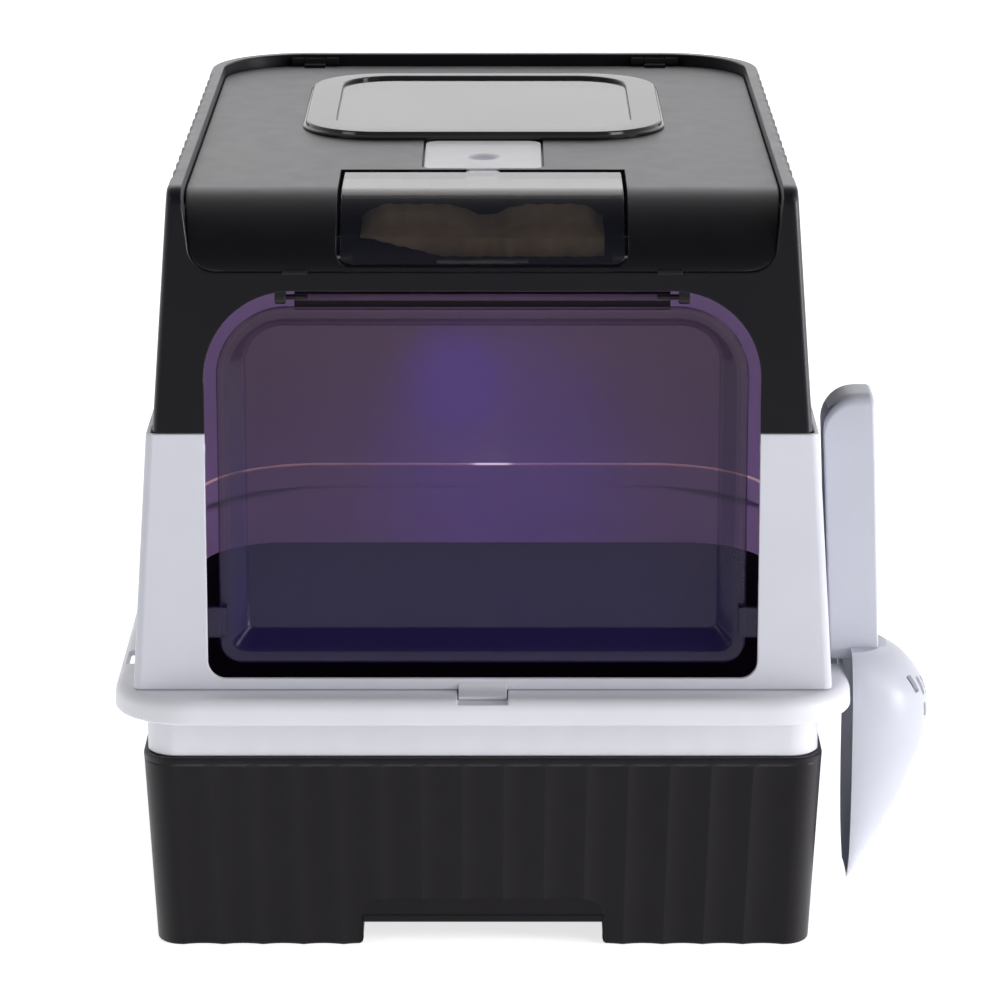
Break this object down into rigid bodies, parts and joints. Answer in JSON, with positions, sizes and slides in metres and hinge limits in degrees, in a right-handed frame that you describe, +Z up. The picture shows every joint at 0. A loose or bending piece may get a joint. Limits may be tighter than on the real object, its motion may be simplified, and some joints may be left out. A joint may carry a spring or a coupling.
{
  "type": "hooded cat litter box",
  "caption": "Hooded cat litter box: fluted tray, flanged collar, two-part hood with an opening top lid, tinted swing door, latched storage cover and a side-hung scoop.",
  "frame": {"origin": "on the floor, under the middle of the collar flange and of the tray's footprint", "axes": "+Z up, -Y towards the door at the front, +X to the right when facing the door, where the scoop hangs; +Y is the longest side"},
  "size_m": [0.4683, 0.513, 0.4416],
  "materials": {
    "black_plastic": "fine satin texture",
    "lid_plastic": "matt with a soft sheen",
    "white_plastic": "satin moulded",
    "smoked_plastic": "polished smoked",
    "smoked_clear": "polished smoked, see-through",
    "purple_tint": "polished tinted, see-through",
    "steel": "plain",
    "cartridge": "matt"
  },
  "bodies": {
    "base": {"base_tray": "black_plastic"},
    "collar": {"collar_ring": "white_plastic"},
    "housing": {"lower_shell": "white_plastic", "upper_hood": "black_plastic", "hood_screws": "steel", "lid_hinge_pins": "steel", "door_hinge_pins": "steel"},
    "lid": {"top_lid": "lid_plastic", "skylight_bezel": "smoked_plastic", "skylight_pane": "smoked_clear", "storage_tub": "black_plastic", "tub_screws": "steel", "odour_cartridge": "cartridge", "cover_hinge_pins": "steel"},
    "latch": {"latch_slide": "white_plastic", "latch_keeper": "black_plastic", "latch_screw": "steel"},
    "cover": {"front_cover": "smoked_clear"},
    "door": {"door_flap": "purple_tint"},
    "scoop": {"scoop": "white_plastic"}
  },
  "joints": [
    {"name": "collar_lift", "type": "slide", "parent": "base", "child": "collar", "axis": [0, 0, 1], "range_m": [0, 0.12]},
    {"name": "housing_lift", "type": "slide", "parent": "collar", "child": "housing", "axis": [0, 0, 1], "range_m": [0, 0.03]},
    {"name": "scoop_lift", "type": "slide", "parent": "collar", "child": "scoop", "axis": [0, 0, 1], "range_m": [0, 0.15]},
    {"name": "lid_hinge", "type": "hinge", "parent": "housing", "child": "lid", "pos_m": [0, 0.225, 0.4368], "axis": [-1, 0, 0], "range_deg": [0, 100]},
    {"name": "cover_hinge", "type": "hinge", "parent": "lid", "child": "cover", "pos_m": [0, -0.2185, 0.4015], "axis": [1, 0, 0], "range_deg": [0, 80]},
    {"name": "latch_slide_joint", "type": "slide", "parent": "lid", "child": "latch", "axis": [0, 1, 0], "range_m": [0, 0.006]},
    {"name": "door_hinge", "type": "hinge", "parent": "housing", "child": "door", "pos_m": [0, -0.222, 0.38], "axis": [1, 0, 0], "range_deg": [0, 85]}
  ]
}
